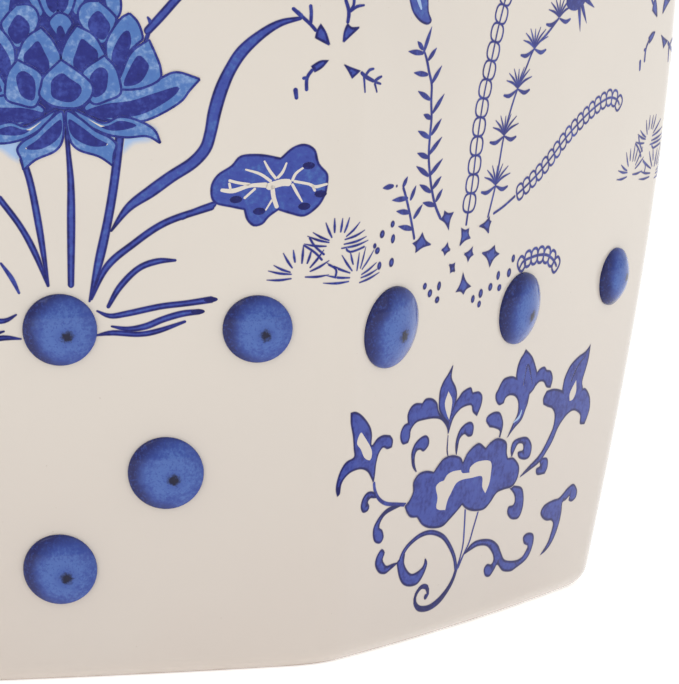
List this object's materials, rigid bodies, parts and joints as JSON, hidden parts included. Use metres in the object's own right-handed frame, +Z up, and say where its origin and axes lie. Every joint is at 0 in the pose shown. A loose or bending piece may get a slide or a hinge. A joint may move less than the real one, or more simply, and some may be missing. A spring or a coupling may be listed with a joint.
{
  "type": "ceramic garden stool",
  "caption": "Hexagonal barrel-shaped porcelain garden stool with soft corners, domed blue studs and coin-shaped hand-holds.",
  "frame": {"origin": "middle of the foot, on the ground", "axes": "+Z up, -Y out of the front lotus panel, +X to the right as seen from the front"},
  "size_m": [0.3382, 0.3074, 0.4569],
  "materials": {
    "painted_glaze": "warm white porcelain under a clear gloss glaze, painted in blue",
    "cobalt_glaze": "mottled cobalt blue under a clear gloss glaze",
    "bare_porcelain": "unglazed fired porcelain clay, matt and slightly rough"
  },
  "bodies": {
    "root": {"side_panel_1": "painted_glaze", "side_panel_2": "painted_glaze", "side_panel_3": "painted_glaze", "side_panel_4": "painted_glaze", "side_panel_5": "painted_glaze", "side_panel_6": "painted_glaze", "seat_slab": "painted_glaze", "corner_coil_1": "bare_porcelain", "corner_coil_2": "bare_porcelain", "corner_coil_3": "bare_porcelain", "corner_coil_4": "bare_porcelain", "corner_coil_5": "bare_porcelain", "corner_coil_6": "bare_porcelain", "seat_joint_coil": "bare_porcelain", "foot_band": "bare_porcelain", "lower_studs_1": "cobalt_glaze", "lower_studs_2": "cobalt_glaze", "lower_studs_3": "cobalt_glaze", "lower_studs_4": "cobalt_glaze", "lower_studs_5": "cobalt_glaze", "lower_studs_6": "cobalt_glaze", "upper_studs_1": "cobalt_glaze", "upper_studs_2": "cobalt_glaze", "upper_studs_3": "cobalt_glaze", "upper_studs_4": "cobalt_glaze", "upper_studs_5": "cobalt_glaze", "upper_studs_6": "cobalt_glaze", "lower_trio_1": "cobalt_glaze", "lower_trio_3": "cobalt_glaze", "lower_trio_5": "cobalt_glaze", "upper_trio_1": "cobalt_glaze", "upper_trio_3": "cobalt_glaze", "upper_trio_5": "cobalt_glaze"}
  },
  "joints": []
}
